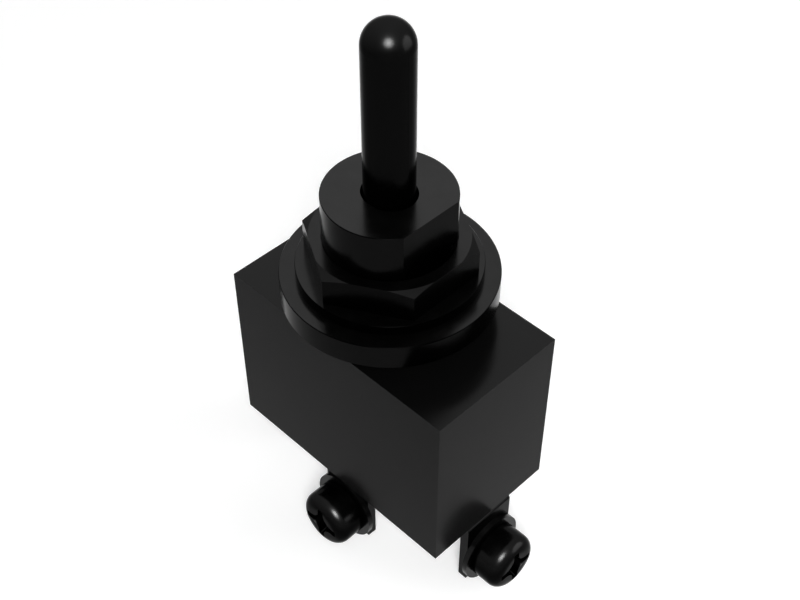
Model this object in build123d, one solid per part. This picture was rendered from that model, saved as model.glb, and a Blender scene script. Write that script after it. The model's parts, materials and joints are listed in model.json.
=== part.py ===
from build123d import *
import os
from math import cos, pi, radians, sin, sqrt, tan

# Panel toggle switch, on-off-on: a screw terminal at each end and the common one in front.
# The origin is the centre of the panel seat, the ring's upper face. +Z runs out of the panel
# along the bushing, +X runs along the housing, and -Y is the front. Sizes are in millimetres.

# Clearances
FIT_GAP = 0.05  # between pieces that are put together once
RUN_GAP = 0.06  # radial, between pieces that turn or slide in each other
SEAT_GAP = 0.03  # between a moving piece and the face that it rests on
CUT_PAST = 1.0  # that a cutting shape reaches past the piece that it cuts

# Housing, moulded with an open bottom, and the base plate that closes it
HOUSING_LENGTH = 27.0
HOUSING_WIDTH = 15.0
HOUSING_HEIGHT = 19.0
HOUSING_WALL = 1.2
HOUSING_TOP_WALL = 2.0
POST_SIDE = 1.5
POST_FILLET = 0.5
BASE_THICKNESS = 2.5
LUG_SPACING = 16.0
LUG_LENGTH = 3.0
LUG_HEIGHT = 0.9
LUG_DEPTH = 0.45
LUG_ROOT = 0.2  # of each lug that is inside the plate, and of its pocket inside the cavity

# Stack on the bushing, from the housing up
SHOULDER_HEIGHT = 2.5
SHOULDER_IN = 0.2  # of the bushing's shoulder inside the housing's long faces
RING_THICKNESS = 2.5
RING_RADIUS = 10.0
RING_EDGE = 0.06
WASHER_THICKNESS = 1.0
WASHER_RADIUS = 8.5
WASHER_EDGE = 0.05
NUT_HEIGHT = 3.0
NUT_FLATS = 14.0
NUT_TOP_RADIUS = 7.2
NUT_CORNER_DROP = 0.36

# Bushing
BUSHING_RADIUS = 6.0
BUSHING_REACH = 8.7
BUSHING_FLAT = 5.0
BUSHING_EDGE = 0.06
RELIEF_RADIUS = 5.6
RELIEF_LOW = 3.5
RELIEF_TOP = 4.12
BUSHING_BORE = 4.0
ROOF_THICKNESS = 2.1
SPIGOT_RADIUS = 5.4
LIP_RADIUS = 6.1
LIP_THICKNESS = 0.8

# Lever and its pin
TILT = 11.0  # degrees each way
PIVOT_DEPTH = 1.15  # below the bushing's top
LEVER_RADIUS = 2.28
LEVER_REACH = 25.68
MOUTH_GAP = 0.05  # between the tilted lever and the end of the oval mouth
PIN_RADIUS = 0.6
PIN_LENGTH = 9.8
TAIL_RADIUS = 1.6
TAIL_LENGTH = 18.55
SHAFT_BELOW_PIVOT = 4.5
TAIL_BORE_RADIUS = 1.05
TAIL_BORE_DEPTH = 9.0
TAIL_SWEEP_GAP = 0.18  # between the tilted tail and the slot's end

# Plunger and its spring, inside the tail
NOSE_OUT = 3.0  # of the nose below the tail
PLUNGER_LENGTH = 7.0
PLUNGER_TRAVEL = 0.8
SPRING_WIRE_RADIUS = 0.14
SPRING_TURNS = 8

# Contact rocker: a stamped strip with a saddle, two humps and two feet
ROCKER_TILT = 7.0  # degrees each way
NOSE_GAP = 0.05
STRIP_THICKNESS = 0.8
STRIP_WIDTH = 4.8
SADDLE_HALF = 4.6
HUMP_REACH = 0.7  # from the saddle's end to the hump's corner
HUMP_RADIUS = 0.7
FOOT_START = 7.2
FOOT_END = 10.2
FOOT_DROP = 0.6  # of the foot's middle below the trunnions' axis
FOOT_RADIUS = 0.6
TRUNNION_RADIUS = 0.5
TRUNNION_REACH = 4.0
TRUNNION_ROOT = 0.2  # of each trunnion that is inside the strip

# Contact buttons, riveted in the rocker's feet and in the end terminals
CONTACT_X = 8.5
MOVING_HEAD_RADIUS = 1.15
MOVING_HEAD = 0.5
MOVING_DOME_RADIUS = 4.0
CONTACT_GAP = 0.06  # between closed contacts
FIXED_HEAD_RADIUS = 1.4
FIXED_HEAD = 0.5
CONTACT_SHANK_RADIUS = 0.6
UPSET_RADIUS = 0.95
UPSET_HEIGHT = 0.3

# Cradle that carries the rocker, and the rivet that holds it
CRADLE_THICKNESS = 0.6
CRADLE_SIDE_GAP = 0.6  # from the rocker's strip to each ear
CRADLE_BASE_HALF = 2.2
EAR_HALF = 1.5
EAR_ABOVE = 0.7  # above the trunnions' axis
RIVET_RADIUS = 0.8
RIVET_HEAD_RADIUS = 1.4
RIVET_HEAD_HEIGHT = 0.6

# Terminals, folded from strip
TERMINAL_WIDTH = 6.0
TERMINAL_THICKNESS = 1.0
TERMINAL_SHOULDER = 8.0
SHELF_REACH = 6.7  # from the centre to the inner end of an end terminal's shelf
COMMON_FOOT_REACH = 2.6  # past the centre, towards the back
END_TAB_OUT = 0.1  # of the end tabs' faces past the housing's ends
TAB_BELOW_SCREW = 2.9
INNER_BEND = 0.15
OUTER_BEND = 0.4

# Terminal screws and their captive washers
SCREW_DEPTH = 5.2  # of the screw's axis below the housing
SCREW_HEAD_RADIUS = 3.0
SCREW_HEAD_HEIGHT = 3.2
SCREW_HEAD_ROUND = 1.2
SCREW_NECK_RADIUS = 1.2
SCREW_THREAD_RADIUS = 1.5
SCREW_THREAD_LENGTH = 2.45
SCREW_POINT = 0.3
CLAMP_WASHER_RADIUS = 3.7
CLAMP_WASHER_THICKNESS = 0.56
RECESS_REACH = 2.1
RECESS_WIDTH = 0.95
RECESS_CORNER = 1.1  # radius that each inner corner of the cross is rounded to
RECESS_DEPTH = 1.35
RECESS_TAPER = 14.0  # degrees

# Levels and places that follow from the sizes
housing_top = -RING_THICKNESS - SHOULDER_HEIGHT
housing_bottom = housing_top - HOUSING_HEIGHT
cavity_top = housing_top - HOUSING_TOP_WALL
cavity_x = HOUSING_LENGTH / 2 - HOUSING_WALL
cavity_y = HOUSING_WIDTH / 2 - HOUSING_WALL
base_top = housing_bottom + BASE_THICKNESS
shoulder_radius = HOUSING_WIDTH / 2 - SHOULDER_IN
end_tab_face = HOUSING_LENGTH / 2 + END_TAB_OUT
common_tab_face = cavity_y
bushing_bottom = cavity_top - LIP_THICKNESS
nut_seat = WASHER_THICKNESS
pivot_z = BUSHING_REACH - PIVOT_DEPTH
tail_end = pivot_z - TAIL_LENGTH
nose_reach = TAIL_LENGTH + NOSE_OUT
bore_end = tail_end + TAIL_BORE_DEPTH
nose_radius = TAIL_BORE_RADIUS - RUN_GAP
nose_tip = tail_end - NOSE_OUT
plunger_top = nose_tip + PLUNGER_LENGTH
fulcrum_z = nose_tip - NOSE_GAP - STRIP_THICKNESS / 2
mouth_half_width = LEVER_RADIUS + RUN_GAP
mouth_half_length = (LEVER_RADIUS + MOUTH_GAP + PIVOT_DEPTH * sin(radians(TILT))) / cos(radians(TILT))
roof_low = BUSHING_REACH - ROOF_THICKNESS
bushing_bore = BUSHING_RADIUS + FIT_GAP
screw_z = housing_bottom - SCREW_DEPTH
tab_bottom = screw_z - TAB_BELOW_SCREW


def turned_to_rocker(x, z, degrees_down):
    """A point beside the trunnions' axis, seen from the rocker once its -X end is down."""
    a = radians(degrees_down)
    return x * cos(a) + z * sin(a), z * cos(a) - x * sin(a)


# The nose's centre rides over the saddle: the arc through its middle and tilted places
nose_rest = nose_tip + nose_radius - fulcrum_z
nose_arm = nose_reach - nose_radius
nose_x = -nose_arm * sin(radians(TILT))
nose_z = pivot_z - nose_arm * cos(radians(TILT)) - fulcrum_z
tilted_x, tilted_z = turned_to_rocker(nose_x, nose_z, ROCKER_TILT)
nose_rise = tilted_z - nose_rest
nose_path_radius = (tilted_x**2 + nose_rise**2) / (2 * nose_rise)
saddle_radius = nose_path_radius + nose_radius + NOSE_GAP + STRIP_THICKNESS / 2

# Closed contacts: the fixed button's face lies just below the lowest point of the moving dome
moving_face = -FOOT_DROP - STRIP_THICKNESS / 2 - MOVING_HEAD
dome_centre = moving_face + MOVING_DOME_RADIUS
lowest_dome = (
    dome_centre * cos(radians(ROCKER_TILT)) - CONTACT_X * sin(radians(ROCKER_TILT)) - MOVING_DOME_RADIUS
)
fixed_face = fulcrum_z + lowest_dome - CONTACT_GAP
shelf_top = fixed_face - FIXED_HEAD


def block(x0, x1, y0, y1, z0, z1):
    """A box between two corners."""
    centre = ((x0 + x1) / 2, (y0 + y1) / 2, (z0 + z1) / 2)
    return Pos(*centre) * Box(x1 - x0, y1 - y0, z1 - z0)


def rod(radius, height):
    """A cylinder that stands on z = 0."""
    return Cylinder(radius, height, align=(Align.CENTER, Align.CENTER, Align.MIN))


def turned(*points):
    """A solid turned about Z from its half section, given as (radius, z)."""
    outline = Polyline(*[(r, 0, z) for r, z in points], close=True)
    return revolve(make_face(outline), Axis.Z)


def along_y(radius, y0, y1, z):
    """A round bar along Y."""
    return Pos(0, (y0 + y1) / 2, z) * Rot(90, 0, 0) * Cylinder(radius, abs(y1 - y0))


def section_y(outline, half_width):
    """A closed XZ outline made into a solid that reaches half_width each way along Y."""
    return extrude(make_face(outline), half_width, dir=(0, 1, 0), both=True)


def housing():
    """Moulded case, open below, with a post in each corner that the base plate seats on."""
    x, y = HOUSING_LENGTH / 2, HOUSING_WIDTH / 2
    case = block(-x, x, -y, y, housing_bottom, housing_top)
    case -= block(-cavity_x, cavity_x, -cavity_y, cavity_y, housing_bottom - CUT_PAST, cavity_top)
    for sx in (-1, 1):
        for sy in (-1, 1):
            post = block(-POST_SIDE, 0, -POST_SIDE, 0, base_top, cavity_top + POST_FILLET)
            edge = post.edges().filter_by(Axis.Z).sort_by_distance((-POST_SIDE, -POST_SIDE, base_top))[0]
            post = fillet(edge, POST_FILLET)
            if sx < 0:
                post = mirror(post, Plane.YZ)
            if sy < 0:
                post = mirror(post, Plane.XZ)
            case += Pos(sx * cavity_x, sy * cavity_y, 0) * post
    case -= Pos(0, 0, housing_top) * Cylinder(SPIGOT_RADIUS + FIT_GAP, 3 * HOUSING_TOP_WALL)
    for x, y in lug_places():
        half = LUG_LENGTH / 2 + FIT_GAP
        mid = housing_bottom + BASE_THICKNESS / 2
        side = 1 if y > 0 else -1
        inner, outer = sorted((side * (cavity_y - LUG_ROOT), side * (cavity_y + LUG_DEPTH)))
        rise = LUG_HEIGHT / 2 + FIT_GAP
        case -= block(x - half, x + half, inner, outer, mid - rise, mid + rise)
    return case


def lug_places():
    """Where the base plate's lugs click into the housing's long walls."""
    return [(sx * LUG_SPACING / 2, sy * cavity_y) for sx in (-1, 1) for sy in (-1, 1)]


def base_plate():
    """Board that closes the housing, notched for the terminals, with four wedge lugs."""
    x, y = cavity_x - FIT_GAP, cavity_y - FIT_GAP
    plate = block(-x, x, -y, y, housing_bottom, base_top)
    notch = TERMINAL_WIDTH / 2 + FIT_GAP
    depth = 2 * FIT_GAP + TERMINAL_THICKNESS
    for sx in (-1, 1):
        x0, x1 = sorted((sx * (cavity_x - depth), sx * (cavity_x + CUT_PAST)))
        plate -= block(x0, x1, -notch, notch, housing_bottom - CUT_PAST, base_top + CUT_PAST)
    front = common_tab_face - TERMINAL_THICKNESS - INNER_BEND - FIT_GAP
    edge = -cavity_y - CUT_PAST
    plate -= block(-notch, notch, edge, -front, housing_bottom - CUT_PAST, base_top + CUT_PAST)
    plate -= Pos(0, 0, housing_bottom) * Cylinder(RIVET_RADIUS + FIT_GAP, 3 * BASE_THICKNESS)
    mid = housing_bottom + BASE_THICKNESS / 2
    reach = LUG_DEPTH - FIT_GAP
    for x, y in lug_places():
        side = 1 if y > 0 else -1
        root = y - side * (FIT_GAP + LUG_ROOT)
        wedge = Polyline(
            (x - LUG_LENGTH / 2, root, mid - LUG_HEIGHT / 2),
            (x - LUG_LENGTH / 2, y + side * reach, mid - LUG_HEIGHT / 2),
            (x - LUG_LENGTH / 2, y - side * FIT_GAP, mid + LUG_HEIGHT / 2),
            (x - LUG_LENGTH / 2, root, mid + LUG_HEIGHT / 2),
            close=True,
        )
        plate += extrude(make_face(wedge), LUG_LENGTH, dir=(1, 0, 0))
    return plate


def bushing():
    """Turned bushing: nose with a flat, shoulder, spigot rolled over inside, oval mouth and pin grooves."""
    body = turned(
        (0, BUSHING_REACH),
        (BUSHING_RADIUS - BUSHING_EDGE, BUSHING_REACH),
        (BUSHING_RADIUS, BUSHING_REACH - BUSHING_EDGE),
        (BUSHING_RADIUS, RELIEF_TOP),
        (RELIEF_RADIUS, RELIEF_TOP),
        (RELIEF_RADIUS, RELIEF_LOW),
        (BUSHING_RADIUS, RELIEF_LOW),
        (BUSHING_RADIUS, -RING_THICKNESS),
        (shoulder_radius, -RING_THICKNESS),
        (shoulder_radius, housing_top),
        (SPIGOT_RADIUS, housing_top),
        (SPIGOT_RADIUS, cavity_top),
        (LIP_RADIUS, cavity_top),
        (LIP_RADIUS, bushing_bottom),
        (0, bushing_bottom),
    )
    past = BUSHING_RADIUS + CUT_PAST
    body -= block(BUSHING_FLAT, past, -past, past, -RING_THICKNESS, BUSHING_REACH + CUT_PAST)
    mouth = SlotOverall(2 * mouth_half_length, 2 * mouth_half_width)
    body -= Pos(0, 0, roof_low - CUT_PAST) * extrude(mouth, ROOF_THICKNESS + 2 * CUT_PAST)
    depth = roof_low - bushing_bottom + CUT_PAST
    bore = Cylinder(BUSHING_BORE, depth, align=(Align.CENTER, Align.CENTER, Align.MAX))
    body -= Pos(0, 0, roof_low) * bore
    groove = PIN_RADIUS + RUN_GAP
    reach = PIN_LENGTH / 2 + FIT_GAP
    body -= along_y(groove, -reach, reach, pivot_z)
    body -= block(-groove, groove, -reach, reach, bushing_bottom - CUT_PAST, pivot_z)
    body -= tail_slot()
    return body


def tail_slot():
    """Space that the lever's tail sweeps, wider downwards along X."""
    low = bushing_bottom - CUT_PAST
    reach = (TAIL_RADIUS + TAIL_SWEEP_GAP + (pivot_z - low) * sin(radians(TILT))) / cos(radians(TILT))
    neck = (TAIL_RADIUS + TAIL_SWEEP_GAP) / cos(radians(TILT))
    wedge = Polyline((-neck, 0, pivot_z), (neck, 0, pivot_z), (reach, 0, low), (-reach, 0, low), close=True)
    return section_y(wedge, TAIL_RADIUS + TAIL_SWEEP_GAP)


def panel_ring():
    """Ring on the bushing's shoulder that the panel's back rests on."""
    ring = turned(
        (bushing_bore, 0),
        (RING_RADIUS - RING_EDGE, 0),
        (RING_RADIUS, -RING_EDGE),
        (RING_RADIUS, RING_EDGE - RING_THICKNESS),
        (RING_RADIUS - RING_EDGE, -RING_THICKNESS),
        (bushing_bore, -RING_THICKNESS),
    )
    return ring


def flat_washer():
    """Washer under the nut."""
    return turned(
        (bushing_bore, 0),
        (WASHER_RADIUS - WASHER_EDGE, 0),
        (WASHER_RADIUS, WASHER_EDGE),
        (WASHER_RADIUS, WASHER_THICKNESS - WASHER_EDGE),
        (WASHER_RADIUS - WASHER_EDGE, WASHER_THICKNESS),
        (bushing_bore, WASHER_THICKNESS),
    )


def hex_nut():
    """Hexagon nut with its upper corners turned off."""
    corner = NUT_FLATS / sqrt(3)
    top = nut_seat + NUT_HEIGHT
    slope = NUT_CORNER_DROP / (corner - NUT_TOP_RADIUS)
    wide = corner + 1
    prism = Pos(0, 0, nut_seat) * extrude(RegularPolygon(corner, 6, rotation=30), NUT_HEIGHT)
    cone = turned(
        (bushing_bore, nut_seat),
        (wide, nut_seat),
        (wide, top - slope * (wide - NUT_TOP_RADIUS)),
        (NUT_TOP_RADIUS, top),
        (bushing_bore, top),
    )
    return prism & cone


def lever():
    """Lever turned in one piece: round-ended bat, shaft, and a tail bored for the plunger."""
    tip = LEVER_REACH - LEVER_RADIUS
    shaft_end = pivot_z - SHAFT_BELOW_PIVOT
    body = turned(
        (0, tip),
        (LEVER_RADIUS, tip),
        (LEVER_RADIUS, shaft_end),
        (TAIL_RADIUS, shaft_end - 2 * (LEVER_RADIUS - TAIL_RADIUS)),
        (TAIL_RADIUS, tail_end),
        (0, tail_end),
    )
    body += Pos(0, 0, tip) * Sphere(LEVER_RADIUS)
    body -= Pos(0, 0, tail_end) * Cylinder(TAIL_BORE_RADIUS, 2 * TAIL_BORE_DEPTH)
    body -= along_y(PIN_RADIUS, -2 * LEVER_RADIUS, 2 * LEVER_RADIUS, pivot_z)
    return body


def lever_pin():
    """Cross pin, pressed through the lever, whose ends turn in the bushing's grooves."""
    return along_y(PIN_RADIUS, -PIN_LENGTH / 2, PIN_LENGTH / 2, pivot_z)


def plunger():
    """Round-nosed plunger that slides in the tail and presses on the rocker."""
    body = Cylinder(nose_radius, PLUNGER_LENGTH - nose_radius, align=(Align.CENTER, Align.CENTER, Align.MAX))
    return Pos(0, 0, plunger_top) * body + Pos(0, 0, nose_tip + nose_radius) * Sphere(nose_radius)


def plunger_spring():
    """Coil spring between the tail's blind end and the plunger."""
    low = plunger_top + SPRING_WIRE_RADIUS + SEAT_GAP
    high = bore_end - SPRING_WIRE_RADIUS - SEAT_GAP
    mean = TAIL_BORE_RADIUS - SPRING_WIRE_RADIUS - 2 * RUN_GAP
    path = Helix(pitch=(high - low) / SPRING_TURNS, height=high - low, radius=mean, center=(0, 0, low))
    wire = Plane(origin=path @ 0, z_dir=path % 0) * Circle(SPRING_WIRE_RADIUS)
    return sweep(wire, path)


def rocker_line():
    """Middle line of the rocker's right half, from the saddle's middle to the foot's end."""
    saddle_centre = saddle_radius
    half_angle = SADDLE_HALF / saddle_radius
    end_z = saddle_centre - sqrt(saddle_radius**2 - SADDLE_HALF**2)
    mid_angle = half_angle / 2
    middle = (saddle_radius * sin(mid_angle), 0, saddle_centre - saddle_radius * cos(mid_angle))
    slope = SADDLE_HALF / sqrt(saddle_radius**2 - SADDLE_HALF**2)
    hump = (SADDLE_HALF + HUMP_REACH, 0, end_z + slope * HUMP_REACH)
    saddle = ThreePointArc((0, 0, 0), middle, (SADDLE_HALF, 0, end_z))
    arm = FilletPolyline(
        (SADDLE_HALF, 0, end_z),
        hump,
        (FOOT_START, 0, -FOOT_DROP),
        (FOOT_END, 0, -FOOT_DROP),
        radius=[HUMP_RADIUS, FOOT_RADIUS],
    )
    return Wire([*saddle.edges(), *arm.edges()])


def contact_rocker():
    """Stamped rocker with its saddle, humps and feet, and a round trunnion on each side."""
    line = rocker_line()
    half = STRIP_WIDTH / 2
    flat = Plane.XZ.to_local_coords(line)
    strip = Plane.XZ * trace(flat, STRIP_THICKNESS)
    side = extrude(strip, half, both=True)
    body = side + mirror(side, Plane.YZ)
    for sx in (-1, 1):
        body += along_y(TRUNNION_RADIUS, sx * (half - TRUNNION_ROOT), sx * TRUNNION_REACH, 0)
        hole = Cylinder(CONTACT_SHANK_RADIUS, 4 * STRIP_THICKNESS)
        body -= Pos(sx * CONTACT_X, 0, -FOOT_DROP) * hole
    return Pos(0, 0, fulcrum_z) * body


def moving_contact(side):
    """Domed contact riveted up through a foot of the rocker."""
    foot_low = fulcrum_z - FOOT_DROP - STRIP_THICKNESS / 2
    foot_top = foot_low + STRIP_THICKNESS
    head = Pos(0, 0, foot_low - MOVING_HEAD) * rod(MOVING_HEAD_RADIUS, MOVING_HEAD)
    head &= Pos(0, 0, fulcrum_z + dome_centre) * Sphere(MOVING_DOME_RADIUS)
    shank = Pos(0, 0, foot_low - SEAT_GAP) * rod(CONTACT_SHANK_RADIUS, STRIP_THICKNESS + 2 * SEAT_GAP)
    upset = Pos(0, 0, foot_top) * rod(UPSET_RADIUS, UPSET_HEIGHT)
    return Pos(side * CONTACT_X, 0, 0) * (head + shank + upset)


def rocker_cradle():
    """U-shaped bracket on the common terminal, whose notched ears carry the trunnions."""
    foot = base_top + TERMINAL_THICKNESS
    inner = STRIP_WIDTH / 2 + CRADLE_SIDE_GAP
    outer = inner + CRADLE_THICKNESS
    top = fulcrum_z + EAR_ABOVE
    body = block(-CRADLE_BASE_HALF, CRADLE_BASE_HALF, -outer, outer, foot, foot + CRADLE_THICKNESS)
    for sy in (-1, 1):
        y0, y1 = sorted((sy * inner, sy * outer))
        ear = block(-EAR_HALF, EAR_HALF, y0, y1, foot, top)
        notch = TRUNNION_RADIUS + RUN_GAP
        ear -= along_y(notch, y0 - CUT_PAST, y1 + CUT_PAST, fulcrum_z)
        ear -= block(-notch, notch, y0 - CUT_PAST, y1 + CUT_PAST, fulcrum_z, top + CUT_PAST)
        body += ear
    rivet_hole = Pos(0, 0, foot) * Cylinder(RIVET_RADIUS, 4 * CRADLE_THICKNESS)
    return body - rivet_hole


def common_rivet():
    """Rivet through the cradle, the common terminal and the base plate."""
    top = base_top + TERMINAL_THICKNESS + CRADLE_THICKNESS
    low = housing_bottom
    return turned(
        (0, top + RIVET_HEAD_HEIGHT),
        (RIVET_HEAD_RADIUS / 2, top + RIVET_HEAD_HEIGHT),
        (RIVET_HEAD_RADIUS, top + RIVET_HEAD_HEIGHT / 2),
        (RIVET_HEAD_RADIUS, top),
        (RIVET_RADIUS, top),
        (RIVET_RADIUS, low),
        (RIVET_HEAD_RADIUS, low),
        (RIVET_HEAD_RADIUS, low - RIVET_HEAD_HEIGHT / 2),
        (RIVET_HEAD_RADIUS / 2, low - RIVET_HEAD_HEIGHT),
        (0, low - RIVET_HEAD_HEIGHT),
    )


def bent_strip(points, width):
    """Strip of the terminal's thickness along a line of (x, z) corners, its bends rounded."""
    line = FilletPolyline(*points, radius=INNER_BEND + TERMINAL_THICKNESS / 2)
    strip = trace(line, TERMINAL_THICKNESS)
    return extrude(Plane.XZ * strip, width / 2, both=True)


def end_terminal(side):
    """Contact shelf, leg in the base plate's notch, jog under the wall, and screw tab."""
    half = TERMINAL_THICKNESS / 2
    leg = cavity_x - FIT_GAP - half
    tab = end_tab_face - half
    jog = housing_bottom - half
    shelf = shelf_top - half
    inner = bent_strip([(SHELF_REACH, shelf), (leg, shelf), (leg, jog + half)], TERMINAL_WIDTH)
    reach_y = TERMINAL_WIDTH / 2
    outer = block(leg - half, end_tab_face, -reach_y, reach_y, tab_bottom, housing_bottom)
    under = tab - half
    past = leg - half - CUT_PAST
    outer -= block(past, under, -TERMINAL_WIDTH, TERMINAL_WIDTH, tab_bottom - CUT_PAST, jog - half)
    top_edge = outer.edges().filter_by(Axis.Y).sort_by_distance((end_tab_face, 0, housing_bottom))[0]
    outer = fillet(top_edge, OUTER_BEND)
    shoulder = TERMINAL_SHOULDER / 2
    wide = block(leg - half, leg + half, -shoulder, shoulder, base_top, shelf - half)
    body = inner + outer + wide
    hole = Rot(0, 90, 0) * Cylinder(SCREW_THREAD_RADIUS + RUN_GAP, 4 * TERMINAL_THICKNESS)
    body -= Pos(tab, 0, screw_z) * hole
    body -= Pos(CONTACT_X, 0, shelf) * Cylinder(CONTACT_SHANK_RADIUS, 4 * TERMINAL_THICKNESS)
    return body if side > 0 else mirror(body, Plane.YZ)


def fixed_contact(side):
    """Flat contact riveted down through an end terminal's shelf."""
    low = shelf_top - TERMINAL_THICKNESS
    button = turned(
        (0, fixed_face),
        (FIXED_HEAD_RADIUS, fixed_face),
        (FIXED_HEAD_RADIUS, shelf_top),
        (CONTACT_SHANK_RADIUS, shelf_top),
        (CONTACT_SHANK_RADIUS, low),
        (UPSET_RADIUS, low),
        (UPSET_RADIUS, low - UPSET_HEIGHT),
        (0, low - UPSET_HEIGHT),
    )
    return Pos(side * CONTACT_X, 0, 0) * button


def common_terminal():
    """Foot under the cradle and a straight leg down the front to its screw tab."""
    half = TERMINAL_THICKNESS / 2
    tab = common_tab_face - half
    foot = base_top + half
    strip = bent_strip([(-COMMON_FOOT_REACH, foot), (tab, foot), (tab, tab_bottom)], TERMINAL_WIDTH)
    body = Rot(0, 0, -90) * strip
    hole = Rot(90, 0, 0) * Cylinder(SCREW_THREAD_RADIUS + RUN_GAP, 4 * TERMINAL_THICKNESS)
    body -= Pos(0, -tab, screw_z) * hole
    return body - Pos(0, 0, foot) * Cylinder(RIVET_RADIUS + FIT_GAP, 4 * TERMINAL_THICKNESS)


def upright_screw():
    """Pan-head screw with its axis along Z and z = 0 at the tab's face."""
    neck_top = CLAMP_WASHER_THICKNESS + 2 * SEAT_GAP
    head = Pos(0, 0, neck_top) * rod(SCREW_HEAD_RADIUS, SCREW_HEAD_HEIGHT)
    head = fillet(head.edges().sort_by(Axis.Z)[-1], SCREW_HEAD_ROUND)
    shank = turned(
        (0, neck_top + SCREW_POINT),
        (SCREW_NECK_RADIUS, neck_top + SCREW_POINT),
        (SCREW_NECK_RADIUS, 0),
        (SCREW_THREAD_RADIUS, 0),
        (SCREW_THREAD_RADIUS, SCREW_POINT - SCREW_THREAD_LENGTH),
        (SCREW_THREAD_RADIUS - SCREW_POINT, -SCREW_THREAD_LENGTH),
        (0, -SCREW_THREAD_LENGTH),
    )
    return head + shank - Pos(0, 0, neck_top + SCREW_HEAD_HEIGHT) * recess()


def recess():
    """Cross recess whose arms narrow downwards, cut from z = 0."""
    arms = Rectangle(2 * RECESS_REACH, RECESS_WIDTH) + Rectangle(RECESS_WIDTH, 2 * RECESS_REACH)
    inner = arms.vertices().sort_by_distance((0, 0, 0))[:4]
    arms = fillet(inner, RECESS_CORNER)
    cut = extrude(arms, -RECESS_DEPTH, taper=RECESS_TAPER)
    return cut + extrude(arms, CUT_PAST)


def upright_washer():
    """Captive washer, its axis along Z, lying on the tab's face."""
    ring = rod(CLAMP_WASHER_RADIUS, CLAMP_WASHER_THICKNESS)
    ring -= Cylinder(SCREW_NECK_RADIUS + RUN_GAP, 4 * CLAMP_WASHER_THICKNESS)
    return Pos(0, 0, SEAT_GAP) * ring


def at_terminals(make, name):
    """One copy of a piece at each screw tab, under its own name."""
    right = Pos(end_tab_face, 0, screw_z) * Rot(0, 90, 0)
    left = Pos(-end_tab_face, 0, screw_z) * Rot(0, -90, 0)
    front = Pos(0, -common_tab_face, screw_z) * Rot(90, 0, 0)
    places = {"right": right, "left": left, "common": front}
    return {f"{place}_{name}": move * make() for place, move in places.items()}


parts = {
    "housing": housing(),
    "base_plate": base_plate(),
    "bushing": bushing(),
    "panel_ring": panel_ring(),
    "flat_washer": flat_washer(),
    "hex_nut": hex_nut(),
    "lever": lever(),
    "lever_pin": lever_pin(),
    "plunger": plunger(),
    "plunger_spring": plunger_spring(),
    "contact_rocker": contact_rocker(),
    "rocker_cradle": rocker_cradle(),
    "common_rivet": common_rivet(),
    "common_terminal": common_terminal(),
}
for side_name, side in (("left", -1), ("right", 1)):
    parts[f"{side_name}_terminal"] = end_terminal(side)
    parts[f"{side_name}_fixed_contact"] = fixed_contact(side)
    parts[f"{side_name}_moving_contact"] = moving_contact(side)
parts |= at_terminals(upright_screw, "screw")
parts |= at_terminals(upright_washer, "screw_washer")

os.makedirs("parts", exist_ok=True)
for name, solid in parts.items():
    export_step(solid, f"parts/{name}.step")
    print(f"{name}: {len(solid.solids())} solid, {solid.volume:.2f} mm3")
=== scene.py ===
"""Panel toggle switch: finishes for its CAD parts, its screws and spring, and a white studio.

Run as a script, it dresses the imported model. Its layout is that of a Blender add-on.
Lengths in the code are in millimetres unless a name or a comment says otherwise.
"""

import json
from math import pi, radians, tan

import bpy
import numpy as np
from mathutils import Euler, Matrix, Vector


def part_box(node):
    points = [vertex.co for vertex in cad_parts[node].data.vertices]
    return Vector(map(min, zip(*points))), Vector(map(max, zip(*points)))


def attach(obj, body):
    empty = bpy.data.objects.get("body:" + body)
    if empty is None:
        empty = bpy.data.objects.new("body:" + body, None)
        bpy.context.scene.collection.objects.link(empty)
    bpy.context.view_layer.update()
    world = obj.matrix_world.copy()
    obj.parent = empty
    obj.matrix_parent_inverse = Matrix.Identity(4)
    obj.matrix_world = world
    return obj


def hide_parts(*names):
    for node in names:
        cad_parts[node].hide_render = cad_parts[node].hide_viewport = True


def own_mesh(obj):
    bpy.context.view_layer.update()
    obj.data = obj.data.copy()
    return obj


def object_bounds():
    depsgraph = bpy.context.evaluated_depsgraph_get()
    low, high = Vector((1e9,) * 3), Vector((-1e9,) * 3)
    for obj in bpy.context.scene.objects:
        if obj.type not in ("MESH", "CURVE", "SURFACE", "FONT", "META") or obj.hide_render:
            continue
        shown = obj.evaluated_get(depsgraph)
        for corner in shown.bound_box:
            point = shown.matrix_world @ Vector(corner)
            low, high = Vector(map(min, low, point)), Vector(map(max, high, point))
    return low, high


bl_info = {
    "name": "Panel Toggle Switch",
    "version": (1, 0, 0),
    "blender": (4, 5, 0),
    "location": "3D View > Sidebar > Toggle Switch",
    "description": "Dresses the toggle switch: materials, threaded screws, coil spring and studio",
    "category": "Add Mesh",
}

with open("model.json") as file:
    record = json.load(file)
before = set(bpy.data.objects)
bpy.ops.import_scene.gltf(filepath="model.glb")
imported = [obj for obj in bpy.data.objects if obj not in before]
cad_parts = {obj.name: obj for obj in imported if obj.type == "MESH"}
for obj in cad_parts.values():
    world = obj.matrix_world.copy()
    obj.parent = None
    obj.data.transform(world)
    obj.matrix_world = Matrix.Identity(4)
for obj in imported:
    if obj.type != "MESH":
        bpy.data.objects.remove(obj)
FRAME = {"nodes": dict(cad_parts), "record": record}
CAD_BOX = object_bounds()
MOUNTS = {mount["name"]: mount for mount in FRAME["record"]["mounts"]}
MM = 0.001
SIDES = ("common", "left", "right")
WHITE = (1, 1, 1, 1)

# Bands of faces between the middle of a screw's recess and its mouth
RECESS_RINGS = 5

# Upward part of the normal for the painted light and shade by facing: that of a bevelled edge, and
# that from which a face counts as level
BEVEL = 0.3
LEVEL = 0.98


# Sizes and colours


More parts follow.
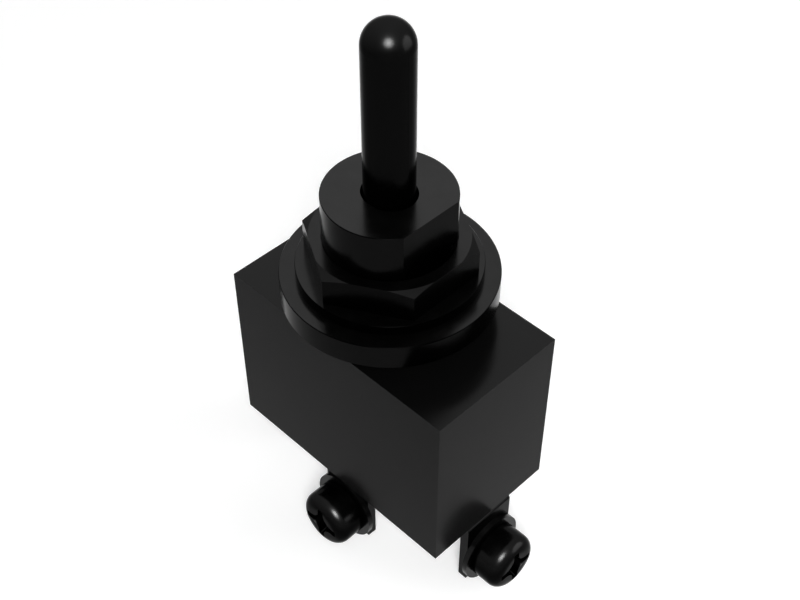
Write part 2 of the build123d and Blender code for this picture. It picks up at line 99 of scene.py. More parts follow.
def linear(hex_colour):
    """An sRGB hex colour, such as "#1b1b1c", as linear red, green and blue.

    Each channel c is c / 12.92 below 0.04045, and ((c + 0.055) / 1.055) to the power 2.4 above.
    """
    c = np.array([int(hex_colour[i : i + 2], 16) / 255 for i in (1, 3, 5)])
    return tuple(np.where(c < 0.04045, c / 12.92, ((c + 0.055) / 1.055) ** 2.4).tolist())


def length_prop(name, description, default_mm):
    """A length that the user sets, in metres, from a default in millimetres."""
    return bpy.props.FloatProperty(
        name=name,
        description=description,
        default=default_mm * MM,
        min=0.0,
        unit="LENGTH",
        precision=5,
    )


def colour_prop(name, description, hex_colour):
    """A colour that the user sets, from a default as an sRGB hex value."""
    return bpy.props.FloatVectorProperty(
        name=name,
        description=description,
        default=linear(hex_colour),
        size=3,
        min=0.0,
        max=1.0,
        subtype="COLOR",
    )


class SwitchSizes(bpy.types.PropertyGroup):
    """Sizes of the pieces that this add-on makes."""

    head_radius: length_prop("Head radius", "Radius of a terminal screw's head", 3.0)
    head_height: length_prop("Head height", "Height of a terminal screw's head", 3.2)
    head_round: length_prop("Head rounding", "Radius of the rounding round the head's face", 1.2)
    recess_reach: length_prop("Recess reach", "From the head's centre to an arm's end", 2.05)
    recess_width: length_prop("Recess width", "Width of each arm of the cross", 0.72)
    recess_flare: length_prop("Recess flare", "Radius of the curve between two arms", 1.15)
    recess_depth: length_prop("Recess depth", "Depth of the cross below the head's face", 1.6)
    thread_radius: length_prop("Thread radius", "Outer radius of the screws' thread", 1.5)
    thread_pitch: length_prop("Thread pitch", "Distance between two turns of the thread", 0.5)
    wire_radius: length_prop("Wire radius", "Radius of the plunger spring's wire", 0.14)
    spring_turns: bpy.props.IntProperty(
        name="Spring turns", description="Turns of the plunger spring", default=8, min=3
    )


class SwitchColours(bpy.types.PropertyGroup):
    """Colours of the finishes."""

    housing: colour_prop("Housing", "Moulded housing and base plate", "#070707")
    plating: colour_prop("Plating", "Ring, washer and nut", "#313131")
    bushing: colour_prop("Bushing", "Turned and plated bushing", "#373737")
    lever: colour_prop("Lever", "Polished lever", "#1e1e1e")
    screw: colour_prop("Screws", "Blackened terminal screws", "#1c1c1c")
    terminal: colour_prop("Terminals", "Plated terminals and their washers", "#2c2c2c")
    brass: colour_prop("Brass", "Rocker, cradle and rivet", "#c9a25f")
    silver: colour_prop("Silver", "Contact buttons", "#dcdad4")
    steel: colour_prop("Steel", "Lever pin and spring", "#a9a9ab")
    acetal: colour_prop("Acetal", "Plunger", "#dcd8cb")


# Surfaces, each worked out as whole arrays


def skin(name, rows):
    """A closed mesh over a grid of points, with a fan to the middle of its first and last row.

    rows has the shape (rows, columns, 3), in metres. Each row is a closed ring. Point k of ring i
    joins point k of ring i + 1, and the last column joins the first.
    """
    count, columns = rows.shape[:2]
    poles = rows[[0, -1]].mean(axis=1)
    points = np.vstack([rows.reshape(-1, 3), poles])
    i, k = np.meshgrid(np.arange(count - 1), np.arange(columns), indexing="ij")
    here, beside = i * columns + k, i * columns + (k + 1) % columns
    quads = np.stack([here, beside, beside + columns, here + columns], axis=-1).reshape(-1, 4)
    ring = np.arange(columns)
    after = (ring + 1) % columns
    first_pole, last_pole = (np.full(columns, count * columns + end) for end in (0, 1))
    last_row = (count - 1) * columns
    first = np.stack([first_pole, after, ring], axis=-1)
    last = np.stack([last_pole, last_row + ring, last_row + after], axis=-1)
    if signed_volume(points, quads, first, last) < 0:
        quads, first, last = quads[:, ::-1], first[:, ::-1], last[:, ::-1]
    mesh = bpy.data.meshes.new(name)
    mesh.from_pydata(points, [], [*quads.tolist(), *first.tolist(), *last.tolist()])
    mesh.shade_smooth()
    mesh.set_sharp_from_angle(angle=radians(40))
    piece = bpy.data.objects.new(name, mesh)
    bpy.context.scene.collection.objects.link(piece)
    return piece


def signed_volume(points, quads, *fans):
    """Volume inside the faces: a sixth of the sum of a . (b x c) over all triangles a, b, c."""
    faces = np.vstack([quads[:, [0, 1, 2]], quads[:, [0, 2, 3]], *fans])
    a, b, c = points[faces[:, 0]], points[faces[:, 1]], points[faces[:, 2]]
    return np.einsum("ij,ij->i", a, np.cross(b, c)).sum() / 6


def arc(centre, radius, start, stop, steps):
    """Points (centre + radius cos t, centre + radius sin t), t from start to stop in degrees."""
    t = np.radians(np.linspace(start, stop, steps))
    return np.stack([centre[0] + radius * np.cos(t), centre[1] + radius * np.sin(t)], axis=-1)


def cross_outline(reach, width, flare, tip_radius, count):
    """Outline of a cross recess, as count points evenly spaced along it.

    Half an arm runs from the tip (reach, 0) round the tip's corner, along the side at half the
    width, and round a circle of the flare's radius to the diagonal between two arms. It is
    mirrored in the arm's own line, and the arm is turned to the other three quarters.
    """
    half = width / 2
    bend = half + flare
    upper = np.vstack(
        [
            [[reach, 0.0]],
            arc((reach - tip_radius, half - tip_radius), tip_radius, 0, 90, 8),
            arc((bend, bend), flare, 270, 225, 16),
        ]
    )
    lower = upper[::-1] * [1, -1]
    arm = np.vstack([lower[:-1], upper[:-1]])
    quarters = np.radians([0, 90, 180, 270])
    cos, sin = np.cos(quarters), np.sin(quarters)
    turns = np.stack([cos, -sin, sin, cos], axis=-1).reshape(4, 2, 2)
    outline = np.einsum("qij,pj->qpi", turns, arm).reshape(-1, 2)
    closed = np.vstack([outline, outline[:1]])
    run = np.concatenate([[0], np.cumsum(np.linalg.norm(np.diff(closed, axis=0), axis=1))])
    at = np.linspace(0, run[-1], count, endpoint=False)
    return np.stack([np.interp(at, run, closed[:, 0]), np.interp(at, run, closed[:, 1])], axis=-1)


def head_level(radius, size):
    """Height of a pan head's face at a radius: flat in the middle, then a quarter circle down."""
    rounding = size["head_round"]
    out = np.clip(radius - (size["head_radius"] - rounding), 0, rounding)
    return size["head_height"] - rounding + np.sqrt(rounding**2 - out**2)


def flat_ring(flat, z):
    """A ring of points (x, y) at the height z, which may differ from point to point."""
    return np.column_stack([flat, np.broadcast_to(z, len(flat))])


def head_rows(size, mouth, circle):
    """Rings of a pan head, from the middle of its recess out and down to the rim's foot.

    The recess's rings are cross outlines: its floor, which dips to its middle, then
    (1 - part) floor + part mouth up the wall. Further out, each ring is (1 - w) mouth + w circle
    on the head's face, with w from 0 to 1, and then come circles down the rounding.
    """
    draft = size["recess_depth"] * tan(radians(8))
    arm_draft = 2.2 * draft
    floor_tip = 0.1
    floor = cross_outline(
        size["recess_reach"] - arm_draft,
        size["recess_width"] - draft,
        size["recess_flare"],
        floor_tip,
        len(mouth),
    )
    floor_z = size["head_height"] - size["recess_depth"]
    dip = 0.22
    rows = [flat_ring(floor * s, floor_z - dip * (1 - s)) for s in (0.3, 0.65, 1.0)]
    level = head_level(np.linalg.norm(mouth, axis=1), size)
    worn_edge = 0.05
    for part, drop in ((0.4, 0.0), (0.85, 0.0), (0.985, worn_edge)):
        wall_z = np.minimum(floor_z + (level - floor_z) * part, level - drop)
        rows.append(flat_ring(floor + (mouth - floor) * part, wall_z))
    face_margin = 0.32
    outer = size["recess_reach"] + face_margin
    for w in (0.012, 0.05, 0.12, 0.25, 0.45, 0.7, 1.0):
        flat = mouth * (1 - w) + circle * outer * w
        rows.append(flat_ring(flat, head_level(np.linalg.norm(flat, axis=1), size)))
    radius, rounding, foot = size["head_radius"], size["head_round"], 0.12
    start = np.degrees(np.arccos((outer - radius + rounding) / rounding))
    rim = np.vstack(
        [
            arc((radius - rounding, size["head_height"] - rounding), rounding, start, 0, 12)[1:],
            arc((radius - foot, foot), foot, 0, -90, 5),
        ]
    )
    return rows + [flat_ring(circle * r, z) for r, z in rim]


def screw_rows(size):
    """Rings of a pan-head screw along +Z, with z = 0 under the head, from the recess to the point.

    Below the head, every ring is a circle about Z, at the same angles as the recess's mouth. The
    thread is the rings' radius: crest - depth |2 frac(z / pitch - angle / 2 pi) - 1|, which fades
    out at both ends. The depth is 0.61 of the pitch, as on a metric thread.
    """
    points_round, mouth_tip = 208, 0.16
    mouth = cross_outline(
        size["recess_reach"], size["recess_width"], size["recess_flare"], mouth_tip, points_round
    )
    angle = np.arctan2(mouth[:, 1], mouth[:, 0])
    circle = np.stack([np.cos(angle), np.sin(angle)], axis=-1)
    crest, pitch = size["thread_radius"], size["thread_pitch"]
    depth = 0.61 * pitch
    neck, plain, end = 1.2, -0.5, -3.07
    fillet = 0.1
    shank = ((neck + fillet, 0.0), (neck, -fillet), (neck, plain))
    z = np.linspace(plain - 0.05, end + 0.25, 84)[:, None]
    saw = np.abs(2 * np.mod(z / pitch - angle[None] / (2 * pi), 1) - 1)
    fade = np.clip((plain - z) / 0.25, 0, 1) * np.clip((z - end) / 0.45, 0, 1)
    radii = neck + (crest - neck) * fade * (1 - saw * depth / (crest - neck + 1e-9)).clip(0, 1)
    x, y = circle[None, :, 0] * radii, circle[None, :, 1] * radii
    thread = np.dstack([x, y, np.broadcast_to(z, radii.shape)])
    tip = ((neck - 0.02, end + 0.12), (neck - 0.2, end))
    rows = head_rows(size, mouth, circle) + [flat_ring(circle * r, z) for r, z in shank]
    return np.concatenate([rows, thread, [flat_ring(circle * r, z) for r, z in tip]])


def recess_faces(rows):
    """1 for each face of a screw's skin that lies in its recess, and 0 for the others.

    A skin's faces run ring by ring, and then come the first fan and the last.
    """
    count, columns = rows.shape[:2]
    inside = np.zeros((count + 1, columns), dtype=np.int32)
    inside[:RECESS_RINGS] = 1
    inside[count - 1] = 1
    return inside.ravel()


def to_axis(points, origin, axis):
    """Points with their Z turned to axis and moved to origin.

    The new X is the world's up crossed with axis, so that it is level, and the new Y is the
    upright one. The arms of a cross recess then stand upright and level.
    """
    z = np.array(axis, float)
    x = np.cross([0.0, 0.0, 1.0], z)
    x /= np.linalg.norm(x)
    y = np.cross(z, x)
    return points @ np.stack([x, y, z]) + np.array(origin)


def spring_rows(radius, wire, low, high, turns):
    """Rings of a coil spring about Z, its last turn at each end lying flat.

    The line is (radius cos t, radius sin t, height(t)). Height runs evenly over the middle turns
    and by one wire's thickness over each end turn. Each ring is the line plus wire (cos a outward
    + sin a up the line's own normal plane), where wire is the wire's radius.
    """
    steps_a_turn, points_round = 36, 14
    t = np.linspace(0, 2 * pi * turns, steps_a_turn * turns)
    end_rise = 2.02 * wire
    ends = [low + wire, low + wire + end_rise, high - wire - end_rise, high - wire]
    height = np.interp(t / (2 * pi), [0, 1, turns - 1, turns], ends)
    out = np.stack([np.cos(t), np.sin(t), np.zeros_like(t)], axis=-1)
    line = radius * out + np.stack([np.zeros_like(t), np.zeros_like(t), height], axis=-1)
    slope = np.gradient(height, t)
    along = np.stack([-radius * np.sin(t), radius * np.cos(t), slope], axis=-1)
    along /= np.linalg.norm(along, axis=1, keepdims=True)
    up = np.cross(out, along)
    a = np.linspace(0, 2 * pi, points_round, endpoint=False)[None, :, None]
    return line[:, None] + wire * (np.cos(a) * out[:, None] + np.sin(a) * up[:, None])


# Materials. The grain of a real plating or polish is too fine to show in the render, so it is
# drawn 0.06 to 0.2 mm wide, as coarse as it needs to be.


def add(tree, kind, inputs=None, **settings):
    """Adds one node: settings are its own, and inputs maps sockets to values or to outputs."""
    node = tree.nodes.new(kind)
    for key, value in settings.items():
        setattr(node, key, value)
    for key, value in (inputs or {}).items():
        if isinstance(value, bpy.types.NodeSocket):
            tree.links.new(value, node.inputs[key])
        else:
            node.inputs[key].default_value = value
    return node


def new_tree(owner):
    """The emptied node tree of a material, a world or a lamp."""
    owner.use_nodes = True
    owner.node_tree.nodes.clear()
    return owner.node_tree


def finish(
    name,
    colour,
    metallic,
    roughness,
    spread,
    patch_mm,
    grain_mm,
    depth_mm,
    turned_mm=0.0,
    stretch=(1, 1, 1),
    painted_wall=1.0,
    painted_bevel=None,
    flat=0.9,
    rim=1.0,
    gloss_level=0.5,
    top_gloss=0.0,
):
    """A finish whose tone and gloss vary in soft patches, with a fine relief.

    Patches of patch_mm shift the colour and the roughness by spread. Grain of grain_mm stands
    depth_mm proud, drawn out along an axis whose stretch is below 1, and where turned_mm is given,
    tool marks that far apart ring the Z axis. The colour is painted lighter or darker by which way
    a face looks, as painted light and shade: faces that look up take more of the whole colour, and
    the level ones all of it; flat is the upward part of the normal from which this starts. The
    wall strength is that of a wall's colour beside theirs, painted shade below 1 and painted light
    above
    1, and the bevel strength that of a bevelled edge's, painted dark where it is below the wall's.
    top_gloss is the weight of a clear coat on the upward faces, which makes them reflect more. rim
    is how bright a metal is when seen along its face, where a black layer swallows light.
    """
    material = bpy.data.materials.new(name)
    tree = new_tree(material)
    frame = add(tree, "ShaderNodeTexCoord")
    place = frame.outputs["Object"]
    facing = add(tree, "ShaderNodeSeparateXYZ", {"Vector": frame.outputs["Normal"]}).outputs["Z"]
    # Painted light and shade by facing: level faces keep the whole colour, walls and bevels take
    # their own strengths
    upward = {"Value": facing, "From Min": flat, "From Max": LEVEL}
    upward = add(tree, "ShaderNodeMapRange", upward).outputs["Result"]
    wall_bevel_paint = {"Value": facing, "From Min": 0.0, "From Max": BEVEL, "To Min": painted_wall}
    wall_bevel_paint["To Max"] = painted_wall if painted_bevel is None else painted_bevel
    wall_bevel_paint = add(tree, "ShaderNodeMapRange", wall_bevel_paint).outputs["Result"]
    # A Mix node's sockets 2 and 3 are its two numbers, and 6 and 7 its two colours
    painted_light_shade = add(tree, "ShaderNodeMix", {0: upward, 2: wall_bevel_paint, 3: 1.0}, data_type="FLOAT").outputs[0]

    patches = {"Vector": place, "Scale": 1 / (patch_mm * MM), "Detail": 4.0, "Roughness": 0.6}
    patches = add(tree, "ShaderNodeTexNoise", patches).outputs["Fac"]
    less, more = 1 - spread, 1 + spread
    darker = (*(c * less for c in colour), 1)
    lighter = (*(min(c * more, 1) for c in colour), 1)
    tone = {"Factor": patches, 6: darker, 7: lighter}
    tone = add(tree, "ShaderNodeMix", tone, data_type="RGBA").outputs[2]
    # The colour with the painted light and shade laid on
    painted_colour = {0: tone, "Scale": painted_light_shade}
    painted_colour = add(tree, "ShaderNodeVectorMath", painted_colour, operation="SCALE").outputs["Vector"]
    gloss = {"Value": patches, "From Min": 0.3, "From Max": 0.7}
    gloss.update({"To Min": roughness * less, "To Max": roughness * more})
    gloss = add(tree, "ShaderNodeMapRange", gloss).outputs["Result"]

    relief = {"Strength": 1.0, "Distance": depth_mm * MM}
    stretched = add(tree, "ShaderNodeMapping", {"Vector": place, "Scale": stretch}).outputs[0]
    grain = {"Vector": stretched, "Scale": 1 / (grain_mm * MM), "Detail": 2.0}
    grain = add(tree, "ShaderNodeTexNoise", grain).outputs["Fac"]
    normal = add(tree, "ShaderNodeBump", {"Height": grain, **relief}).outputs["Normal"]
    if turned_mm:
        # A Wave node's rings lie 2 pi / 20 apart at a scale of 1
        marks = {"Vector": place, "Scale": 2 * pi / (20 * turned_mm * MM)}
        marks.update({"Distortion": 0.3, "Detail": 1.0})
        marks = add(tree, "ShaderNodeTexWave", marks, wave_type="RINGS", rings_direction="Z")
        marks = {"Height": marks.outputs["Fac"], "Normal": normal, **relief}
        normal = add(tree, "ShaderNodeBump", marks).outputs["Normal"]

    inputs = {"Base Color": painted_colour, "Metallic": metallic, "Roughness": gloss, "Normal": normal}
    inputs.update({"Specular IOR Level": gloss_level, "Specular Tint": (rim, rim, rim, 1)})
    if top_gloss:
        clear = add(tree, "ShaderNodeMath", {0: upward, 1: top_gloss}, operation="MULTIPLY")
        inputs.update({"Coat Weight": clear.outputs[0], "Coat Roughness": roughness})
    shader = add(tree, "ShaderNodeBsdfPrincipled", inputs)
    add(tree, "ShaderNodeOutputMaterial", {"Surface": shader.outputs["BSDF"]})
    return material


def dress(material, *nodes):
    """Gives CAD nodes a material in place of their plain one."""
    for node in nodes:
        for slot in FRAME["nodes"][node].material_slots:
            slot.material = material


# Operators


class SWITCH_OT_mouldings(bpy.types.Operator):
    """Black moulded housing and base plate"""

    bl_idname = "switch.mouldings"
    bl_label = "Mouldings"

    def execute(self, context):
        # Phenolic, compression moulded: near black, a low even gloss and the mould's faint grain
        phenolic = finish(
            "moulded_black_phenolic",
            context.scene.switch_colours.housing,
            metallic=0.0,
            roughness=0.19,
            spread=0.12,
            patch_mm=2.5,
            grain_mm=0.16,
            depth_mm=0.0004,
            # The walls painted 2.1 times as light as the upward faces: painted light
            painted_wall=2.1,
            gloss_level=0.022,
            top_gloss=0.33,
        )
        dress(phenolic, "housing", "base_plate")
        return {"FINISHED"}


class SWITCH_OT_fittings(bpy.types.Operator):
    """Bushing, ring, flat washer and nut in black plating"""

    bl_idname = "switch.fittings"
    bl_label = "Panel fittings"

    def execute(self, context):
        colours = context.scene.switch_colours
        # Brass, turned and black nickel plated: tool marks ring the axis under a satin plating
        turned = finish(
            "turned_black_nickel",
            colours.bushing,
            metallic=1.0,
            roughness=0.2,
            spread=0.1,
            patch_mm=1.8,
            grain_mm=0.12,
            depth_mm=0.0003,
            turned_mm=0.22,
            # Walls and bevels painted far darker than the upward faces, bevels nearly black:
            # painted shade
            painted_wall=0.11,
            painted_bevel=0.005,
            rim=0.6,
        )
        dress(turned, "bushing")
        steel = {"metallic": 1.0, "roughness": 0.19, "spread": 0.12, "rim": 0.6}
        steel.update({"patch_mm": 1.5, "grain_mm": 0.1, "depth_mm": 0.0003})
        # Steel, blanked and blackened: flat faces with a fine tumbled grain; walls and bevels
        # painted far darker than the upward faces, as painted shade
        blanked = finish("blanked_black_steel", colours.plating, painted_wall=0.13, painted_bevel=0.004, **steel)
        dress(blanked, "panel_ring", "flat_washer")
        # Steel, forged and milled: the same black; its flats and crown painted far darker than its
        # top face, as painted shade
        forged = finish("milled_black_steel", colours.plating, painted_wall=0.085, **steel)
        dress(forged, "hex_nut")
        return {"FINISHED"}


class SWITCH_OT_lever(bpy.types.Operator):
    """Polished lever with its pin and plunger"""

    bl_idname = "switch.lever"
    bl_label = "Lever"

    def execute(self, context):
        colours = context.scene.switch_colours
        # Brass, turned, polished and black nickel plated: the glossiest face of the switch
        polished = finish(
            "polished_black_nickel",
            colours.lever,
            metallic=1.0,
            roughness=0.2,
            spread=0.1,
            patch_mm=3.0,
            grain_mm=0.2,
            depth_mm=0.0002,
            # The shaft's walls painted far darker than the dome and the faces that look up:
            # painted shade and painted light
            painted_wall=0.21,
            flat=0.2,
            rim=0.54,
        )
        dress(polished, "lever")
        # Steel, drawn bright: fine lines along the pin
        drawn = finish(
            "drawn_bright_steel",
            colours.steel,
            metallic=1.0,
            roughness=0.28,
            spread=0.08,
            patch_mm=1.0,
            grain_mm=0.06,
            depth_mm=0.0006,
            stretch=(1, 0.05, 1),
        )
        dress(drawn, "lever_pin")
        # Acetal, turned from rod: milky and waxy, with faint rings
        acetal = finish(
            "turned_natural_acetal",
            colours.acetal,
            metallic=0.0,
            roughness=0.36,
            spread=0.03,
            patch_mm=2.0,
            grain_mm=0.1,
            depth_mm=0.0006,
            turned_mm=0.2,
        )
        dress(acetal, "plunger")
        return {"FINISHED"}


class SWITCH_OT_terminals(bpy.types.Operator):
    """Three folded terminals and the washers under their screws"""

    bl_idname = "switch.terminals"
    bl_label = "Terminals"

    def execute(self, context):
        colour = context.scene.switch_colours.terminal
        plated = {"metallic": 1.0, "roughness": 0.24, "spread": 0.1, "depth_mm": 0.0004}
        # Brass strip, rolled, folded and black nickel plated: rolling lines run down the tabs
        rolled = finish(
            "rolled_black_nickel",
            colour,
            patch_mm=1.2,
            grain_mm=0.08,
            stretch=(1, 1, 0.12),
            # The tabs' walls painted far darker than the faces that look up: painted shade
            painted_wall=0.16,
            rim=0.65,
            **plated,
        )
        dress(rolled, *(f"{side}_terminal" for side in SIDES))
        # Steel, punched and zinc plated black: a dull even face
        punched = finish(
            "punched_black_zinc",
            colour,
            patch_mm=1.0,
            grain_mm=0.08,
            # The washers' walls painted darker than the faces that look up: painted shade
            painted_wall=0.4,
            rim=0.75,
            **plated,
        )
        dress(punched, *(f"{side}_screw_washer" for side in SIDES))
        return {"FINISHED"}


class SWITCH_OT_contacts(bpy.types.Operator):
    """Rocker, cradle, rivet and contact buttons inside the housing"""

    bl_idname = "switch.contacts"
    bl_label = "Contacts"

    def execute(self, context):
        colours = context.scene.switch_colours
        # Brass strip, rolled and stamped: warm, with lines along the strip
        stamped = finish(
            "stamped_brass",
            colours.brass,
            metallic=1.0,
            roughness=0.3,
            spread=0.08,
            patch_mm=1.6,
            grain_mm=0.1,
            depth_mm=0.0008,
            stretch=(0.1, 1, 1),
        )
        dress(stamped, "contact_rocker", "rocker_cradle")
        # Brass wire, headed cold: smoother than the strip
        headed = finish(
            "headed_brass",
            colours.brass,
            metallic=1.0,
            roughness=0.24,
            spread=0.06,
            patch_mm=1.2,
            grain_mm=0.1,
            depth_mm=0.0004,
        )
        dress(headed, "common_rivet")
        # Silver alloy, headed and tumbled: bright and slightly clouded
        silver = finish(
            "tumbled_silver",
            colours.silver,
            metallic=1.0,
            roughness=0.26,
            spread=0.06,
            patch_mm=0.6,
            grain_mm=0.06,
            depth_mm=0.0005,
        )
        buttons = ((side, kind) for side in ("left", "right") for kind in ("fixed", "moving"))
        dress(silver, *(f"{side}_{kind}_contact" for side, kind in buttons))
        return {"FINISHED"}


class SWITCH_OT_screws(bpy.types.Operator):
    """Three pan-head screws with a cross recess and a cut thread"""

    bl_idname = "switch.screws"
    bl_label = "Terminal screws"

    def execute(self, context):
        sizes = context.scene.switch_sizes
        names = ("head_radius", "head_height", "head_round", "recess_reach", "recess_width")
        names += ("recess_flare", "recess_depth", "thread_radius", "thread_pitch")
        rows = screw_rows({name: getattr(sizes, name) / MM for name in names})
        in_recess = recess_faces(rows)
        colour = context.scene.switch_colours.screw
        # Steel, headed, threaded and oil blackened: smooth, deep black, a soft bright highlight
        oiled = finish(
            "oiled_black_steel",
            colour,
            metallic=1.0,
            roughness=0.21,
            spread=0.1,
            patch_mm=1.0,
            grain_mm=0.1,
            depth_mm=0.0003,
            # The walls of the head and shank painted darker than the faces that look up: painted
            # shade and painted light
            painted_wall=0.18,
            flat=0.2,
            rim=0.55,
        )
        # The same steel where the punch stamped the cross: unpolished, and painted a twentieth as
        # bright, as painted shade in the hollow of the recess
        recess_shade = finish(
            "recess_shaded_black_steel",
            tuple(0.05 * c for c in colour),
            metallic=1.0,
            roughness=0.3,
            spread=0.1,
            patch_mm=1.0,
            grain_mm=0.1,
            depth_mm=0.001,
            rim=0.1,
        )
        for side in SIDES:
            mount = MOUNTS[f"{side}_wire"]
            place, axis = np.array(mount["pos_m"]), np.array(mount["axis"], float)
            corners = (np.array(corner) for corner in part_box(f"{side}_screw"))
            reach = max(abs((corner - place) @ axis) for corner in corners)
            under_head = place + axis * (reach - sizes.head_height)
            piece = skin(f"{side}_terminal_screw", to_axis(rows * MM, under_head, axis))
            piece.data.materials.append(oiled)
            piece.data.materials.append(recess_shade)
            piece.data.polygons.foreach_set("material_index", in_recess)
            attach(piece, f"{side}_screw")
            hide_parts(f"{side}_screw")
        return {"FINISHED"}


class SWITCH_OT_spring(bpy.types.Operator):
    """Coil spring above the plunger, attached to the lever's body"""

    bl_idname = "switch.spring"
    bl_label = "Plunger spring"

    def execute(self, context):
        sizes = context.scene.switch_sizes
        low, high = (np.array(corner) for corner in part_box("plunger_spring"))
        radius = (high[0] - low[0]) / 2 - sizes.wire_radius
        rows = spring_rows(radius, sizes.wire_radius, low[2], high[2], sizes.spring_turns)
        piece = skin("coil_spring", rows)
        # Steel, drawn to wire and coiled: bright, with a faint grain
        wire = finish(
            "drawn_spring_wire",
            context.scene.switch_colours.steel,
            metallic=1.0,
            roughness=0.25,
            spread=0.06,
            patch_mm=1.0,
            grain_mm=0.08,
            depth_mm=0.0003,
        )
        piece.data.materials.append(wire)
        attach(piece, "lever")
        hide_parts("plunger_spring")
        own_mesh(piece)
        return {"FINISHED"}


def looked_at(tree):
    """1 where the camera, a gloss or a glass looks, and 0 where the rays only carry light."""
    path = add(tree, "ShaderNodeLightPath").outputs
    seen = {0: path["Is Camera Ray"], 1: path["Is Glossy Ray"]}
    seen = add(tree, "ShaderNodeMath", seen, operation="MAXIMUM").outputs[0]
    seen = {0: seen, 1: path["Is Transmission Ray"]}
    return add(tree, "ShaderNodeMath", seen, operation="MAXIMUM").outputs[0]


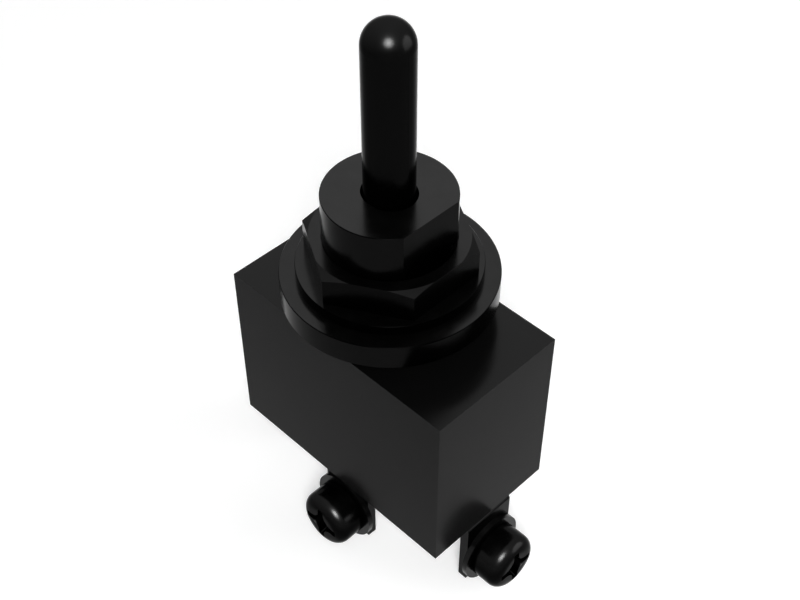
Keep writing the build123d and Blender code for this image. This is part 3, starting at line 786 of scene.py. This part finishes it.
class SWITCH_OT_stage(bpy.types.Operator):
    """White floor, soft lamps and the camera"""

    bl_idname = "switch.stage"
    bl_label = "Stage"

    def execute(self, context):
        scene = context.scene
        scene.view_settings.view_transform = "Standard"
        self.sky(scene)
        self.floor(scene)
        self.lamps(scene)
        self.camera(scene)
        return {"FINISHED"}

    def sky(self, scene):
        """World that lights evenly and is white to the camera and in reflections."""
        lit, white = 0.38, 1.0
        scene.world = bpy.data.worlds.new("white_studio")
        tree = new_tree(scene.world)
        light = add(tree, "ShaderNodeBackground", {"Color": WHITE, "Strength": lit})
        shown = add(tree, "ShaderNodeBackground", {"Color": WHITE, "Strength": white})
        both = {0: looked_at(tree), 1: light.outputs[0], 2: shown.outputs[0]}
        mixed = add(tree, "ShaderNodeMixShader", both)
        add(tree, "ShaderNodeOutputWorld", {"Surface": mixed.outputs[0]})

    def floor(self, scene):
        """White paper just under the lowest washer, which keeps the shadow.

        It glows a little more where the lamps no longer reach it, so that it is white up to its
        edge. Its half width and the distances from the middle are in metres.
        """
        half, near, far = 1.5, 0.1, 0.5
        near_glow, far_glow = 0.36, 0.7
        level = CAD_BOX[0][2] - 0.02 * MM
        corners = [(x * half, y * half, level) for x, y in ((-1, -1), (1, -1), (1, 1), (-1, 1))]
        mesh = bpy.data.meshes.new("paper_floor")
        mesh.from_pydata(corners, [], [(0, 1, 2, 3)])
        floor = bpy.data.objects.new("paper_floor", mesh)
        scene.collection.objects.link(floor)
        material = bpy.data.materials.new("matte_white_paper")
        tree = new_tree(material)
        paper = add(tree, "ShaderNodeBsdfDiffuse", {"Color": (0.8, 0.8, 0.8, 1)})
        place = add(tree, "ShaderNodeTexCoord").outputs["Object"]
        away = add(tree, "ShaderNodeVectorMath", {0: place}, operation="LENGTH").outputs["Value"]
        fade = {"Value": away, "From Min": near, "From Max": far}
        fade.update({"To Min": near_glow, "To Max": far_glow})
        fade = {0: looked_at(tree), 1: add(tree, "ShaderNodeMapRange", fade).outputs["Result"]}
        strength = add(tree, "ShaderNodeMath", fade, operation="MULTIPLY").outputs[0]
        glow = add(tree, "ShaderNodeEmission", {"Color": WHITE, "Strength": strength})
        both = add(tree, "ShaderNodeAddShader", {0: paper.outputs[0], 1: glow.outputs[0]})
        add(tree, "ShaderNodeOutputMaterial", {"Surface": both.outputs[0]})
        mesh.materials.append(material)

    def lamps(self, scene):
        """A soft box behind the camera, one low at the right back, and a card for the highlights.

        The soft box behind the camera only gives light, and the card there only shows in gloss.
        """
        behind_camera, right_back = (0.212, -0.200, 0.272), (0.355, 0.305, 0.088)
        # Name, place and diameter in metres, power in watts, whether it lights, and shows in gloss
        for name, place, size, power, lights, shows in (
            ("key_softbox", behind_camera, 0.14, 1.2, True, False),
            ("fill_softbox", right_back, 0.4, 1.7, True, True),
            ("highlight_card", behind_camera, 0.17, 14.6, False, True),
        ):
            lamp = bpy.data.lights.new(name, "AREA")
            lamp.shape = "DISK"
            lamp.size = size
            lamp.energy = power
            box = bpy.data.objects.new(name, lamp)
            box.location = place
            box.rotation_euler = (-Vector(place)).to_track_quat("-Z", "Y").to_euler()
            box.visible_diffuse = lights
            box.visible_glossy = shows
            if not lights:
                self.show_once(lamp)
            scene.collection.objects.link(box)

    def show_once(self, lamp):
        """Leaves a lamp's light out of a reflection that is itself seen in a reflection."""
        first_bounce = 1.5
        tree = new_tree(lamp)
        depth = add(tree, "ShaderNodeLightPath").outputs["Ray Depth"]
        first = add(tree, "ShaderNodeMath", {0: depth, 1: first_bounce}, operation="LESS_THAN")
        glow = add(tree, "ShaderNodeEmission", {"Color": WHITE, "Strength": first.outputs[0]})
        add(tree, "ShaderNodeOutputLight", {"Surface": glow.outputs[0]})

    def camera(self, scene):
        """Camera of the picture: 45 degrees to the right of the front and 45 degrees up."""
        lens = bpy.data.cameras.new("picture_camera")
        lens.sensor_width = 36.0
        lens.lens = 57.97
        lens.clip_start = 0.005
        camera = bpy.data.objects.new("picture_camera", lens)
        camera.location = (0.05979, -0.05853, 0.07942)
        camera.rotation_euler = Euler((radians(45), 0, radians(45)))
        scene.collection.objects.link(camera)
        scene.camera = camera


OPERATORS = (
    SWITCH_OT_mouldings,
    SWITCH_OT_fittings,
    SWITCH_OT_lever,
    SWITCH_OT_terminals,
    SWITCH_OT_contacts,
    SWITCH_OT_screws,
    SWITCH_OT_spring,
    SWITCH_OT_stage,
)


class SWITCH_PT_sidebar(bpy.types.Panel):
    """Lists the operators with the sizes and the colours that they read"""

    bl_label = "Toggle Switch"
    bl_idname = "SWITCH_PT_sidebar"
    bl_space_type = "VIEW_3D"
    bl_region_type = "UI"
    bl_category = "Toggle Switch"

    def draw(self, context):
        for group in (context.scene.switch_sizes, context.scene.switch_colours):
            box = self.layout.box()
            for name in group.__annotations__:
                box.prop(group, name)
        for operator in OPERATORS:
            self.layout.operator(operator.bl_idname)


CLASSES = (SwitchSizes, SwitchColours, *OPERATORS, SWITCH_PT_sidebar)


def register():
    for cls in CLASSES:
        bpy.utils.register_class(cls)
    bpy.types.Scene.switch_sizes = bpy.props.PointerProperty(type=SwitchSizes)
    bpy.types.Scene.switch_colours = bpy.props.PointerProperty(type=SwitchColours)


def unregister():
    del bpy.types.Scene.switch_colours
    del bpy.types.Scene.switch_sizes
    for cls in reversed(CLASSES):
        bpy.utils.unregister_class(cls)


def main():
    register()
    for operator in OPERATORS:
        group, name = operator.bl_idname.split(".")
        getattr(getattr(bpy.ops, group), name)()


if __name__ == "__main__":
    main()
